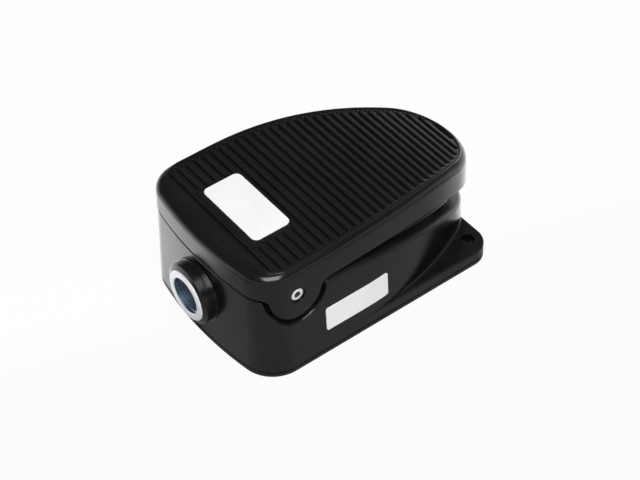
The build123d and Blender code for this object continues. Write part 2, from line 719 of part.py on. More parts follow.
os.makedirs("parts", exist_ok=True)
for name, shapes in nodes.items():
    solids = [s for shape in shapes for s in shape.solids()]
    part = solids[0] if len(solids) == 1 else Compound(children=solids)
    export_step(part, "parts/" + name + ".step")
    size = Compound(children=solids).bounding_box() if len(solids) > 1 else part.bounding_box()
    print(name, len(solids), [round(v, 2) for v in (*size.min, *size.max)], round(sum(s.volume for s in solids)))
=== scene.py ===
"""Foot switch: finishes, fine details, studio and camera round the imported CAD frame."""

import logging
import math
from dataclasses import dataclass
from enum import Enum
from typing import ClassVar, Optional, Sequence, Union

import bmesh
import bpy
from bmesh.types import BMEdge, BMesh, BMVert
from bpy.types import Material, Node, NodeSocket as Socket, NodeTree, Object, World
from mathutils import Matrix, Vector


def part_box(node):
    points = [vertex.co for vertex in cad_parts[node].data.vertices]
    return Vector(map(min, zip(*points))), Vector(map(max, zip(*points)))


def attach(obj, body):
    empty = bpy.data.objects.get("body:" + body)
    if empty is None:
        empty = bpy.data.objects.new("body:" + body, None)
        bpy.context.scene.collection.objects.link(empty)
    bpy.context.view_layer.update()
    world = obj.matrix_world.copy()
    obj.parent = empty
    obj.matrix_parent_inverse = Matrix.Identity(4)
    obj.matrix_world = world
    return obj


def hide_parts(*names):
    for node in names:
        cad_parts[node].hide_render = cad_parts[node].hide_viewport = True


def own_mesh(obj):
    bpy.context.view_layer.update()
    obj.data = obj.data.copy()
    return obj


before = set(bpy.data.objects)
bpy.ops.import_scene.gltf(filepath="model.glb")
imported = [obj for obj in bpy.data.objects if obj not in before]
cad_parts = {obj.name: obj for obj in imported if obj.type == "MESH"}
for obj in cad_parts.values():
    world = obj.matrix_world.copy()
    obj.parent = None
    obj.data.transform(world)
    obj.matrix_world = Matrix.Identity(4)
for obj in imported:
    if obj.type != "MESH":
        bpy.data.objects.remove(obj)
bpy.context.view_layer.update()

LOG = logging.getLogger("foot_switch")
MM = 0.001
MERGE = 1e-6
Colour = tuple[float, float, float, float]
Value = Union[float, Sequence[float], Socket]
HINGE_Y, HINGE_Z = 55.8 * MM, 53.0 * MM


def rgb(red: float, green: float, blue: float) -> Colour:
    """An opaque colour."""
    return (red, green, blue, 1.0)


def nose_radius(reach: float, side: float, flare: float) -> float:
    """Radius of the nose that two side arcs run into, in plan."""
    return (reach**2 - side**2 + flare**2) / (2 * (reach - side))


def linked(name: str, data: bpy.types.ID) -> Object:
    """A new object in the scene."""
    made = bpy.data.objects.new(name, data)
    bpy.context.scene.collection.objects.link(made)
    return made


class Body(Enum):
    """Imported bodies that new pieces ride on."""

    BASE = "base"
    TREADLE = "treadle_assembly"


# ---------------- node trees


class Tree:
    """Short calls that add and link nodes in one node tree."""

    def __init__(self, tree: NodeTree) -> None:
        """Keep the tree that the calls add to."""
        self.tree = tree

    @classmethod
    def cleared(cls, owner: Union[Material, World]) -> "Tree":
        """Calls for the emptied node tree of a material or world."""
        owner.use_nodes = True
        owner.node_tree.nodes.clear()
        return cls(owner.node_tree)

    def feed(self, node: Node, name: str, value: Socket) -> None:
        """Link an output into a node's named input."""
        self.tree.links.new(value, node.inputs[name])

    def node(self, kind: str, values: Optional[dict] = None, **settings: object) -> Node:
        """Add a node.

        Args:
            kind: Node type, without its "ShaderNode" start.
            values: Input name or index to a constant, or to the output socket linked into it.
            settings: Properties of the node itself.

        Returns:
            The new node.
        """
        made = self.tree.nodes.new(kind if kind.startswith("Node") else "ShaderNode" + kind)
        for name, value in settings.items():
            setattr(made, name, value)
        for key, value in (values or {}).items():
            if isinstance(value, Socket):
                self.tree.links.new(value, made.inputs[key])
            else:
                made.inputs[key].default_value = value
        return made

    def math(self, operation: str, *terms: Value, clamp: bool = False) -> Socket:
        """Add a Math node.

        Args:
            operation: Name of the operation.
            terms: One to three numbers or sockets.
            clamp: Whether the result is held between 0 and 1.

        Returns:
            Its output.
        """
        values = dict(enumerate(terms))
        return self.node("Math", values, operation=operation, use_clamp=clamp).outputs[0]

    def ramp(self, value: Value, low: float, high: float, to_low: float = 0.0,
             to_high: float = 1.0) -> Socket:
        """Map a value smoothly from one range to another.

        Args:
            value: What is mapped.
            low: Start of the range.
            high: End of the range.
            to_low: Result at and before the start.
            to_high: Result at and past the end.

        Returns:
            The mapped value.
        """
        values = {0: value, 1: low, 2: high, 3: to_low, 4: to_high}
        return self.node("MapRange", values, interpolation_type="SMOOTHSTEP").outputs[0]

    def mix(self, share: Value, first: Value, second: Value) -> Socket:
        """Mix two colours.

        Args:
            share: How much of the second colour shows.
            first: First colour.
            second: Second colour.

        Returns:
            The mixed colour.
        """
        return self.node("Mix", {0: share, 6: first, 7: second}, data_type="RGBA").outputs[2]

    def noise(self, place: Value, scale: float, detail: float = 2.0, rough: float = 0.5) -> Socket:
        """Add a noise texture.

        Args:
            place: Coordinates it is read at.
            scale: Grains per metre.
            detail: Finer layers added.
            rough: Strength of the finer layers.

        Returns:
            Its value, from 0 to 1.
        """
        values = {"Vector": place, "Scale": scale, "Detail": detail, "Roughness": rough}
        return self.node("TexNoise", values).outputs[0]

    def stretched(self, place: Value, scale: Sequence[float]) -> Socket:
        """Coordinates scaled by axis, for grain that runs one way."""
        return self.node("Mapping", {"Vector": place, "Scale": scale}).outputs[0]

    def distance(self, across: Value, along: Value, centre: Sequence[float]) -> Socket:
        """Distance from a centre, in the plane of two coordinates."""
        a = self.math("SUBTRACT", across, centre[0])
        b = self.math("SUBTRACT", along, centre[1])
        square = self.math("ADD", self.math("MULTIPLY", a, a), self.math("MULTIPLY", b, b))
        return self.math("SQRT", square)


class Effect:
    """Surface effect that several finishes share: a node group with named sockets."""

    name: ClassVar[str] = ""
    inputs: ClassVar[dict[str, float]] = {}
    outputs: ClassVar[tuple[str, ...]] = ()
    built: ClassVar[dict[str, NodeTree]] = {}

    @classmethod
    def fill(cls, kit: Tree, place: Socket, given: dict) -> dict:
        """Build the group's inside.

        Args:
            kit: Calls for the group's tree.
            place: The Vector input.
            given: The other inputs by name.

        Returns:
            Output name to the socket that feeds it.
        """
        raise NotImplementedError

    @classmethod
    def group(cls) -> NodeTree:
        """The node group, made on its first use."""
        if cls.name not in Effect.built:
            tree = bpy.data.node_groups.new(cls.name, "ShaderNodeTree")
            tree.interface.new_socket("Vector", in_out="INPUT", socket_type="NodeSocketVector")
            kind = "NodeSocketFloat"
            for name, value in cls.inputs.items():
                socket = tree.interface.new_socket(name, in_out="INPUT", socket_type=kind)
                socket.default_value = value
            for name in cls.outputs:
                tree.interface.new_socket(name, in_out="OUTPUT", socket_type=kind)
            kit = Tree(tree)
            start = kit.node("NodeGroupInput")
            end = kit.node("NodeGroupOutput")
            fed = cls.fill(kit, start.outputs["Vector"], {n: start.outputs[n] for n in cls.inputs})
            for name, socket in fed.items():
                tree.links.new(socket, end.inputs[name])
            Effect.built[cls.name] = tree
        return Effect.built[cls.name]

    @classmethod
    def place(cls, kit: Tree, place: Socket, **values: Value) -> Node:
        """Add the group to a material.

        Args:
            kit: Calls for the material's tree.
            place: Coordinates of the surface.
            values: The other inputs by name, in lower case.

        Returns:
            The group node.
        """
        named = {key.title(): value for key, value in values.items()}
        return kit.node("Group", {"Vector": place, **named}, node_tree=cls.group())


class PaintSkin(Effect):
    """Sprayed enamel: soft orange peel, fine grain, small pits and slow changes of tone."""

    name = "paint_skin"
    inputs = {"Peel": 1.0, "Grain": 0.35, "Pits": 0.5}
    outputs = ("Height", "Tone")

    @classmethod
    def fill(cls, kit: Tree, place: Socket, given: dict) -> dict:
        """Build the group's inside, as Effect.fill says."""
        peel = kit.math("MULTIPLY", kit.noise(place, 620, 1.5, 0.4), given["Peel"])
        grain = kit.math("MULTIPLY", kit.noise(place, 3600, 3, 0.6), given["Grain"])
        cell = kit.node("TexVoronoi", {"Vector": place, "Scale": 210.0})
        dent = kit.ramp(cell.outputs["Distance"], 0.03, 0.11, 1.0, 0.0)
        few = kit.ramp(kit.noise(place, 70, 1), 0.55, 0.68)
        pits = kit.math("MULTIPLY", kit.math("MULTIPLY", dent, few), given["Pits"])
        height = kit.math("SUBTRACT", kit.math("ADD", peel, grain), pits)
        tone = kit.ramp(kit.noise(place, 38, 3, 0.55), 0.32, 0.70)
        return {"Height": height, "Tone": tone}


class Dust(Effect):
    """Dust: a thin film that gathers where Lie is high, and a few single specks."""

    name = "dust"
    inputs = {"Lie": 0.0, "Film": 0.2, "Specks": 1.0}
    outputs = ("Mask",)

    @classmethod
    def fill(cls, kit: Tree, place: Socket, given: dict) -> dict:
        """Build the group's inside, as Effect.fill says."""
        cloud = kit.ramp(kit.noise(place, 160, 4, 0.6), 0.38, 0.75)
        film = kit.math("MULTIPLY", kit.math("MULTIPLY_ADD", cloud, 0.5, 0.5), given["Lie"])
        film = kit.math("MULTIPLY", film, given["Film"])
        cell = kit.node("TexVoronoi", {"Vector": place, "Scale": 150.0})
        spot = kit.ramp(cell.outputs["Distance"], 0.012, 0.035, 1.0, 0.0)
        pick = kit.node("SeparateColor", {0: cell.outputs["Color"]}).outputs[0]
        rare = kit.ramp(pick, 0.955, 0.965)
        speck = kit.math("MULTIPLY", kit.math("MULTIPLY", spot, rare), given["Specks"])
        return {"Mask": kit.math("MAXIMUM", film, speck)}


class Plating(Effect):
    """Plated metal: cloudy brightness, hair scratches and fine dimples."""

    name = "plating"
    inputs = {"Scratch": 0.4, "Cloud": 1.0}
    outputs = ("Height", "Cloud")

    @classmethod
    def fill(cls, kit: Tree, place: Socket, given: dict) -> dict:
        """Build the group's inside, as Effect.fill says."""
        dimple = kit.noise(place, 1500, 3, 0.6)
        hair = kit.noise(kit.stretched(place, (260.0, 260.0, 9000.0)), 1.0, 2, 0.5)
        lines = kit.math("MULTIPLY", hair, given["Scratch"])
        height = kit.math("MULTIPLY_ADD", dimple, 0.4, lines)
        cloud = kit.ramp(kit.noise(place, 210, 4, 0.6), 0.30, 0.72)
        return {"Height": height, "Cloud": kit.math("MULTIPLY", cloud, given["Cloud"])}


# ---------------- finishes


@dataclass(frozen=True)
class Finish:
    """A finish: the material's name, its slot, and its plain values."""

    name: str
    slot: str
    colour: Colour
    roughness: float

    def material(self) -> Material:
        """Build the material."""
        made = bpy.data.materials.new(self.name)
        made.diffuse_color = self.colour
        kit = Tree.cleared(made)
        values = {"Base Color": self.colour, "Roughness": self.roughness}
        shader = kit.node("BsdfPrincipled", values)
        kit.node("OutputMaterial", {"Surface": shader.outputs[0]})
        self.paint(kit, kit.node("TexCoord").outputs["Object"], shader)
        return made

    def paint(self, kit: Tree, place: Socket, shader: Node) -> None:
        """Feed the shader what makes this finish.

        Args:
            kit: Calls for the material's tree.
            place: Object coordinates.
            shader: The Principled shader.
        """
        raise NotImplementedError

    def shade(self, share: float, lift: float = 0.0) -> Colour:
        """The finish's colour made darker or lighter."""
        return rgb(*(c * share + lift for c in self.colour[:3]))

    @staticmethod
    def bump(kit: Tree, shader: Node, height: Socket, depth: float, strength: float) -> None:
        """Feed a height to the shader's normal.

        Args:
            kit: Calls for the material's tree.
            shader: The Principled shader.
            height: Height from 0 to 1.
            depth: Depth of a full height, in metres.
            strength: Share of the bump that shows.
        """
        values = {"Strength": strength, "Distance": depth, "Height": height}
        kit.feed(shader, "Normal", kit.node("Bump", values).outputs[0])

    @staticmethod
    def facing_up(kit: Tree) -> Socket:
        """How far the surface faces up, from 0 to 1."""
        normal = kit.node("NewGeometry").outputs["Normal"]
        return kit.ramp(kit.node("SeparateXYZ", {0: normal}).outputs[2], 0.3, 0.95)


@dataclass(frozen=True)
class CastEnamel(Finish):
    """Black enamel sprayed on a casting."""

    peel: float = 1.0
    pits: float = 0.5
    film: float = 0.012
    shine: float = 0.42
    depth: float = 0.04 * MM
    dust: Colour = rgb(0.36, 0.36, 0.35)

    def paint(self, kit: Tree, place: Socket, shader: Node) -> None:
        """Feed the shader, as Finish.paint says."""
        self.dress(kit, place, shader, self.facing_up(kit))

    def dress(self, kit: Tree, place: Socket, shader: Node,
              lie: Socket, matt: Optional[Socket] = None) -> None:
        """Lay the enamel's skin, tone and dust on the shader.

        Args:
            kit: Calls for the material's tree.
            place: Coordinates of the surface.
            shader: The Principled shader.
            lie: Where dust lies, from 0 to 1.
            matt: Where the finish is duller, from 0 to 1, or None.
        """
        shader.inputs["Specular IOR Level"].default_value = self.shine
        skin = PaintSkin.place(kit, place, peel=self.peel, pits=self.pits)
        dust = Dust.place(kit, place, lie=lie, film=self.film)
        toned = kit.mix(skin.outputs["Tone"], self.shade(0.72), self.colour)
        kit.feed(shader, "Base Color", kit.mix(dust.outputs["Mask"], toned, self.dust))
        spread = kit.math("MULTIPLY_ADD", skin.outputs["Tone"], 0.04, self.roughness - 0.02)
        if matt is not None:
            spread = kit.math("MULTIPLY_ADD", matt, 0.16, spread)
        spread = kit.math("MULTIPLY_ADD", dust.outputs["Mask"], 0.25, spread, clamp=True)
        kit.feed(shader, "Roughness", spread)
        self.bump(kit, shader, skin.outputs["Height"], self.depth, 0.55)


@dataclass(frozen=True)
class TreadEnamel(CastEnamel):
    """The same enamel on the treadle, duller and dustier inside the ribbed field."""

    half: float = 47.0 * MM
    rear: float = 73.0 * MM
    side_y: float = 40.0 * MM
    side_radius: float = 285.0 * MM
    rear_radius: float = 227.0 * MM
    nose: float = -84.5 * MM
    crown_z: float = 69.8 * MM
    crown_y: float = 32.0 * MM
    crown_radius: float = 306.0 * MM
    skirt_z: float = 48.0 * MM

    def paint(self, kit: Tree, place: Socket, shader: Node) -> None:
        """Feed the shader, as Finish.paint says."""
        inside = self.field_mask(kit, place)
        sunk = kit.math("MULTIPLY", self.groove_mask(kit, place, inside), 0.3)
        lie = kit.math("MAXIMUM", kit.math("MULTIPLY", self.facing_up(kit), 0.5), sunk)
        self.dress(kit, place, shader, lie, inside)

    def field_mask(self, kit: Tree, place: Socket) -> Socket:
        """Mask of the ribbed field, from its plan outline of arcs.

        Args:
            kit: Calls for the material's tree.
            place: Object coordinates.

        Returns:
            1 inside the field's outline on the upper side, 0 outside.
        """
        axes = kit.node("SeparateXYZ", {0: place})
        x, y, z = (kit.math("ABSOLUTE", axes.outputs[0]), axes.outputs[1], axes.outputs[2])
        ahead = kit.math("MINIMUM", y, self.side_y)
        far = kit.distance(x, ahead, (self.half - self.side_radius, self.side_y))
        side = kit.math("SUBTRACT", self.side_radius, far)
        far = kit.distance(x, y, (0.0, self.rear - self.rear_radius))
        rear = kit.math("SUBTRACT", self.rear_radius, far)
        flare = self.side_radius - self.half
        radius = nose_radius(self.side_y - self.nose, self.side_radius, flare)
        centre = self.nose + radius
        tip = kit.math("SUBTRACT", radius, kit.distance(x, y, (0.0, centre)))
        tip = kit.math("MAXIMUM", tip, kit.math("SUBTRACT", y, centre))
        within = kit.math("MINIMUM", kit.math("MINIMUM", side, rear), tip)
        upper = kit.ramp(z, self.skirt_z, self.skirt_z + 2.0 * MM)
        return kit.math("MULTIPLY", kit.ramp(within, -0.3 * MM, 0.5 * MM), upper)

    def groove_mask(self, kit: Tree, place: Socket, inside: Socket) -> Socket:
        """Mask of the grooves' floors, by their depth below the crown."""
        axes = kit.node("SeparateXYZ", {0: place})
        fall = kit.math("MAXIMUM", kit.math("SUBTRACT", self.crown_y, axes.outputs[1]), 0.0)
        level = kit.math("SUBTRACT", self.crown_radius**2, kit.math("MULTIPLY", fall, fall))
        crown = kit.math("ADD", kit.math("SQRT", level), self.crown_z - self.crown_radius)
        depth = kit.math("SUBTRACT", crown, axes.outputs[2])
        return kit.math("MULTIPLY", kit.ramp(depth, 0.3 * MM, 0.9 * MM), inside)


@dataclass(frozen=True)
class PlatedMetal(Finish):
    """Plated or bare metal with a second, duller colour in its clouds."""

    clouded: Colour = rgb(0.5, 0.5, 0.5)
    scratch: float = 0.4
    spread: float = 0.12
    metallic: float = 1.0
    depth: float = 0.03 * MM
    dust: Colour = rgb(0.40, 0.39, 0.37)

    def paint(self, kit: Tree, place: Socket, shader: Node) -> None:
        """Feed the shader, as Finish.paint says."""
        shader.inputs["Metallic"].default_value = self.metallic
        plating = Plating.place(kit, place, scratch=self.scratch)
        dust = Dust.place(kit, place, lie=self.facing_up(kit), film=0.06, specks=0.3)
        cloud = plating.outputs["Cloud"]
        toned = kit.mix(cloud, self.colour, self.clouded)
        kit.feed(shader, "Base Color", kit.mix(dust.outputs["Mask"], toned, self.dust))
        rough = kit.math("MULTIPLY_ADD", cloud, self.spread, self.roughness, clamp=True)
        kit.feed(shader, "Roughness", rough)
        self.bump(kit, shader, plating.outputs["Height"], self.depth, 0.5)


@dataclass(frozen=True)
class PinMetal(PlatedMetal):
    """The pin's plating, dark brown inside its hollow end."""

    hollow_r: float = 1.75 * MM
    brim: float = 0.15 * MM
    hollow_brown: Colour = rgb(0.10, 0.08, 0.055)

    def paint(self, kit: Tree, place: Socket, shader: Node) -> None:
        """Feed the shader, as Finish.paint says."""
        super().paint(kit, place, shader)
        plated = shader.inputs["Base Color"].links[0].from_socket
        axes = kit.node("SeparateXYZ", {0: place})
        reach = kit.distance(axes.outputs[1], axes.outputs[2], (HINGE_Y, HINGE_Z))
        in_hollow = kit.ramp(reach, self.hollow_r, self.hollow_r + self.brim, 1.0, 0.0)
        kit.feed(shader, "Base Color", kit.mix(in_hollow, plated, self.hollow_brown))


@dataclass(frozen=True)
class Rubber(Finish):
    """Moulded rubber: dull, with a fine grain and a grey bloom."""

    def paint(self, kit: Tree, place: Socket, shader: Node) -> None:
        """Feed the shader, as Finish.paint says."""
        bloom = kit.ramp(kit.noise(place, 130, 5, 0.6), 0.35, 0.8, 0.0, 0.5)
        grey = self.shade(2.2, 0.01)
        kit.feed(shader, "Base Color", kit.mix(bloom, self.colour, grey))
        rough = kit.math("MULTIPLY_ADD", bloom, 0.2, self.roughness, clamp=True)
        kit.feed(shader, "Roughness", rough)
        self.bump(kit, shader, kit.noise(place, 2600, 4, 0.65), 0.04 * MM, 0.6)


@dataclass(frozen=True)
class MouldedResin(Finish):
    """Moulded resin: flow tone, a fine mould texture and a soft gloss."""

    shine: float = 0.5

    def paint(self, kit: Tree, place: Socket, shader: Node) -> None:
        """Feed the shader, as Finish.paint says."""
        shader.inputs["Specular IOR Level"].default_value = self.shine
        flow = kit.ramp(kit.noise(kit.stretched(place, (1.0, 1.0, 0.3)), 90, 3, 0.5), 0.3, 0.7)
        kit.feed(shader, "Base Color", kit.mix(flow, self.shade(0.78), self.colour))
        rough = kit.math("MULTIPLY_ADD", flow, 0.08, self.roughness, clamp=True)
        kit.feed(shader, "Roughness", rough)
        self.bump(kit, shader, kit.noise(place, 1900, 3, 0.6), 0.03 * MM, 0.4)


@dataclass(frozen=True)
class LabelFilm(Finish):
    """White self-adhesive film: faint paper tone, soft sheen and slight lifting."""

    dust: Colour = rgb(0.55, 0.55, 0.53)

    def paint(self, kit: Tree, place: Socket, shader: Node) -> None:
        """Feed the shader, as Finish.paint says."""
        tone = kit.ramp(kit.noise(place, 60, 3, 0.5), 0.3, 0.75)
        red, green, blue = self.colour[:3]
        warm = rgb(red * 0.95, green * 0.95, blue * 0.94)
        dust = Dust.place(kit, place, lie=self.facing_up(kit), film=0.04, specks=0.25)
        toned = kit.mix(tone, warm, self.colour)
        kit.feed(shader, "Base Color", kit.mix(dust.outputs["Mask"], toned, self.dust))
        rough = kit.math("MULTIPLY_ADD", tone, 0.10, self.roughness, clamp=True)
        kit.feed(shader, "Roughness", rough)
        lift = kit.noise(place, 120, 2, 0.4)
        wave = kit.math("MULTIPLY_ADD", kit.noise(place, 2400, 2), 0.15, lift)
        self.bump(kit, shader, wave, 0.06 * MM, 0.35)


@dataclass(frozen=True)
class FibreSheet(Finish):
    """Pressed fibre sheet with short flecks."""

    def paint(self, kit: Tree, place: Socket, shader: Node) -> None:
        """Feed the shader, as Finish.paint says."""
        grain = kit.noise(kit.stretched(place, (300.0, 2200.0, 900.0)), 1.0, 4, 0.7)
        fleck = kit.ramp(grain, 0.45, 0.7)
        kit.feed(shader, "Base Color", kit.mix(fleck, self.colour, self.shade(0.62)))
        self.bump(kit, shader, fleck, 0.05 * MM, 0.5)


class Finishes(Enum):
    """The finishes of this object, by what they are on."""

    CAST = CastEnamel("black_cast_enamel", "cast_black", rgb(0.0040, 0.0040, 0.0044), 0.21)
    TREAD = TreadEnamel("black_tread_enamel", "cast_black", rgb(0.0040, 0.0040, 0.0044), 0.21)
    PLATE = CastEnamel("black_plate_enamel", "plate_black", rgb(0.0050, 0.0050, 0.0054), 0.36,
                       peel=0.6, pits=0.1)
    ZINC = PlatedMetal("bright_zinc", "zinc", rgb(0.92, 0.93, 0.95), 0.42,
                       clouded=rgb(0.78, 0.81, 0.86))
    FACED = PlatedMetal("faced_zinc", "zinc", rgb(0.94, 0.94, 0.95), 0.46,
                        clouded=rgb(0.86, 0.87, 0.90), metallic=0.45)
    PIN = PinMetal("pin_plating", "zinc", rgb(0.94, 0.94, 0.94), 0.46,
                   clouded=rgb(0.84, 0.84, 0.86), metallic=0.4)
    THREAD = PlatedMetal("blue_zinc_thread", "zinc", rgb(0.42, 0.51, 0.62), 0.34,
                         clouded=rgb(0.30, 0.38, 0.48))
    STEEL = PlatedMetal("plated_steel", "steel", rgb(0.60, 0.60, 0.59), 0.28,
                        clouded=rgb(0.46, 0.45, 0.43))
    SPRING = PlatedMetal("spring_wire", "steel", rgb(0.42, 0.42, 0.43), 0.30,
                         clouded=rgb(0.30, 0.30, 0.31), scratch=0.8)
    BRASS = PlatedMetal("plain_brass", "brass", rgb(0.78, 0.58, 0.27), 0.26,
                        clouded=rgb(0.58, 0.42, 0.20))
    BRONZE = PlatedMetal("sintered_bronze", "bronze", rgb(0.52, 0.36, 0.20), 0.46,
                         clouded=rgb(0.38, 0.26, 0.15))
    GREEN = PlatedMetal("green_passivate", "green_screw", rgb(0.10, 0.36, 0.16), 0.34,
                        clouded=rgb(0.20, 0.34, 0.12))
    RUBBER = Rubber("black_rubber", "rubber", rgb(0.010, 0.010, 0.010), 0.62)
    CASE = MouldedResin("dark_moulding", "phenolic", rgb(0.030, 0.026, 0.024), 0.38)
    BUTTON = MouldedResin("red_moulding", "red_button", rgb(0.46, 0.03, 0.025), 0.30)
    LABEL = LabelFilm("white_label_film", "label", rgb(0.93, 0.93, 0.93), 0.42)
    FIBRE = FibreSheet("grey_fibre", "fibre", rgb(0.40, 0.37, 0.31), 0.75)


class Paintbox:
    """Builds each finish once and lays it on nodes and pieces."""

    def __init__(self) -> None:
        """Start with no material made."""
        self.made: dict[Finishes, Material] = {}

    def material(self, finish: Finishes) -> Material:
        """The finish's material, made on its first use."""
        if finish not in self.made:
            self.made[finish] = finish.value.material()
        return self.made[finish]

    def dress_nodes(self, finishes: dict[str, Finishes]) -> None:
        """Put finishes in the material slots of CAD nodes.

        Args:
            finishes: Name of each node to its finish.
        """
        for node, finish in finishes.items():
            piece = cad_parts[node]
            if not piece.material_slots:
                piece.data.materials.append(None)
            for slot in piece.material_slots:
                slot.material = self.material(finish)
            LOG.info("node %s: %s", node, finish.value.name)

    def dress_piece(self, piece: Object, finish: Finishes) -> None:
        """Put a finish on a new piece.

        Args:
            piece: The piece.
            finish: What it is dressed in.
        """
        piece.data.materials.clear()
        piece.data.materials.append(self.material(finish))
        LOG.info("piece %s: %s", piece.name, finish.value.name)


# ---------------- mesh pieces


def piece_from(name: str, mesh: BMesh, smooth_deg: float = 35.0) -> Object:
    """Turn a bmesh into a piece at the origin, with its doubles merged and its faces outward.

    Args:
        name: Name of the piece.
        mesh: The bmesh, which is freed.
        smooth_deg: Edges flatter than this are shaded smooth.

    Returns:
        The new object.
    """
    bmesh.ops.remove_doubles(mesh, verts=mesh.verts, dist=MERGE)
    bmesh.ops.recalc_face_normals(mesh, faces=mesh.faces)
    limit = math.radians(smooth_deg)
    for face in mesh.faces:
        face.smooth = True
    for edge in mesh.edges:
        edge.smooth = len(edge.link_faces) == 2 and edge.calc_face_angle(0.0) < limit
    data = bpy.data.meshes.new(name)
    mesh.to_mesh(data)
    mesh.free()
    return linked(name, data)


@dataclass
class Casting:
    """Copy of a CAD casting with its sharp edges broken, which stands for the node."""

    node: str
    name: str
    body: Body
    finish: Finishes
    edge: float = 0.26 * MM
    rounds: int = 2
    sharp_deg: float = 32.0
    pin_reach: float = 8.0 * MM
    seen_z: float = 38.0 * MM

    def build(self, paints: Paintbox) -> None:
        """Build and dress the casting.

        Args:
            paints: Where its finish comes from.
        """
        mesh = bmesh.new()
        mesh.from_mesh(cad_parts[self.node].data)
        bmesh.ops.remove_doubles(mesh, verts=mesh.verts, dist=MERGE)
        self.shape(mesh)
        edges = [e for e in mesh.edges if self.is_broken(e)]
        bmesh.ops.bevel(mesh, geom=edges, offset=self.edge, offset_type="OFFSET",
                        profile_type="SUPERELLIPSE", segments=self.rounds, profile=0.5,
                        affect="EDGES", clamp_overlap=False, material=-1, loop_slide=True)
        made = piece_from(self.name, mesh, self.sharp_deg)
        smooth = made.modifiers.new("flat_faces", "WEIGHTED_NORMAL")
        smooth.keep_sharp, smooth.weight = True, 50
        paints.dress_piece(made, self.finish)
        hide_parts(self.node)
        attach(made, self.body.value)

    def shape(self, mesh: BMesh) -> None:
        """Change the merged copy before its edges are broken."""

    def is_broken(self, edge: BMEdge) -> bool:
        """Whether an edge is sharp, clear of the pin, and either stands outward or lies high."""
        if len(edge.link_faces) != 2 or edge.calc_face_angle(0.0) < math.radians(self.sharp_deg):
            return False
        mid = (edge.verts[0].co + edge.verts[1].co) / 2
        if math.hypot(mid.y - HINGE_Y, mid.z - HINGE_Z) < self.pin_reach:
            return False
        return edge.is_convex or mid.z > self.seen_z


@dataclass
class BaseCasting(Casting):
    """Base casting, with the recess round each lobe of the treadle opened a little."""

    recess_x: float = 40.0 * MM
    recess_r: float = 17.2 * MM
    open_r: float = 18.9 * MM
    fade_low: float = 46.5 * MM
    fade_high: float = 50.0 * MM
    fade_rear: float = 69.0 * MM

    def shape(self, mesh: BMesh) -> None:
        """Push the wall of each recess away from the hinge, less and less towards its ends."""
        fade = self.fade_high - self.fade_low
        for vert in mesh.verts:
            dy, dz = vert.co.y - HINGE_Y, vert.co.z - HINGE_Z
            reach = math.hypot(dy, dz)
            at_side = abs(vert.co.x) > self.recess_x and vert.co.z < self.fade_high
            if at_side and self.recess_r < reach < self.open_r:
                share = min((self.fade_high - vert.co.z) / fade, 1.0)
                share *= min(max((self.fade_rear - vert.co.y) / fade, 0.0), 1.0)
                grown = 1 + (self.open_r / reach - 1) * share
                vert.co.y, vert.co.z = HINGE_Y + dy * grown, HINGE_Z + dz * grown


def section(mesh: BMesh, points: Sequence[Sequence[float]]) -> tuple[list, list]:
    """Lay the corners and edges of a closed section in a bmesh.

    Args:
        mesh: The bmesh.
        points: Corners in order, in metres.

    Returns:
        The new vertices, and the new edges.
    """
    verts = [mesh.verts.new(p) for p in points]
    return verts, [mesh.edges.new(p) for p in zip(verts, verts[1:] + verts[:1])]


def hollow(radius: float, steps: int) -> list[tuple[float, float]]:
    """Points of a hollow quarter round, from the wall down to the flat."""
    turns = [math.pi * (1 + i / steps / 2) for i in range(steps + 1)]
    return [(radius * (1 + math.cos(a)), radius * (1 + math.sin(a))) for a in turns]


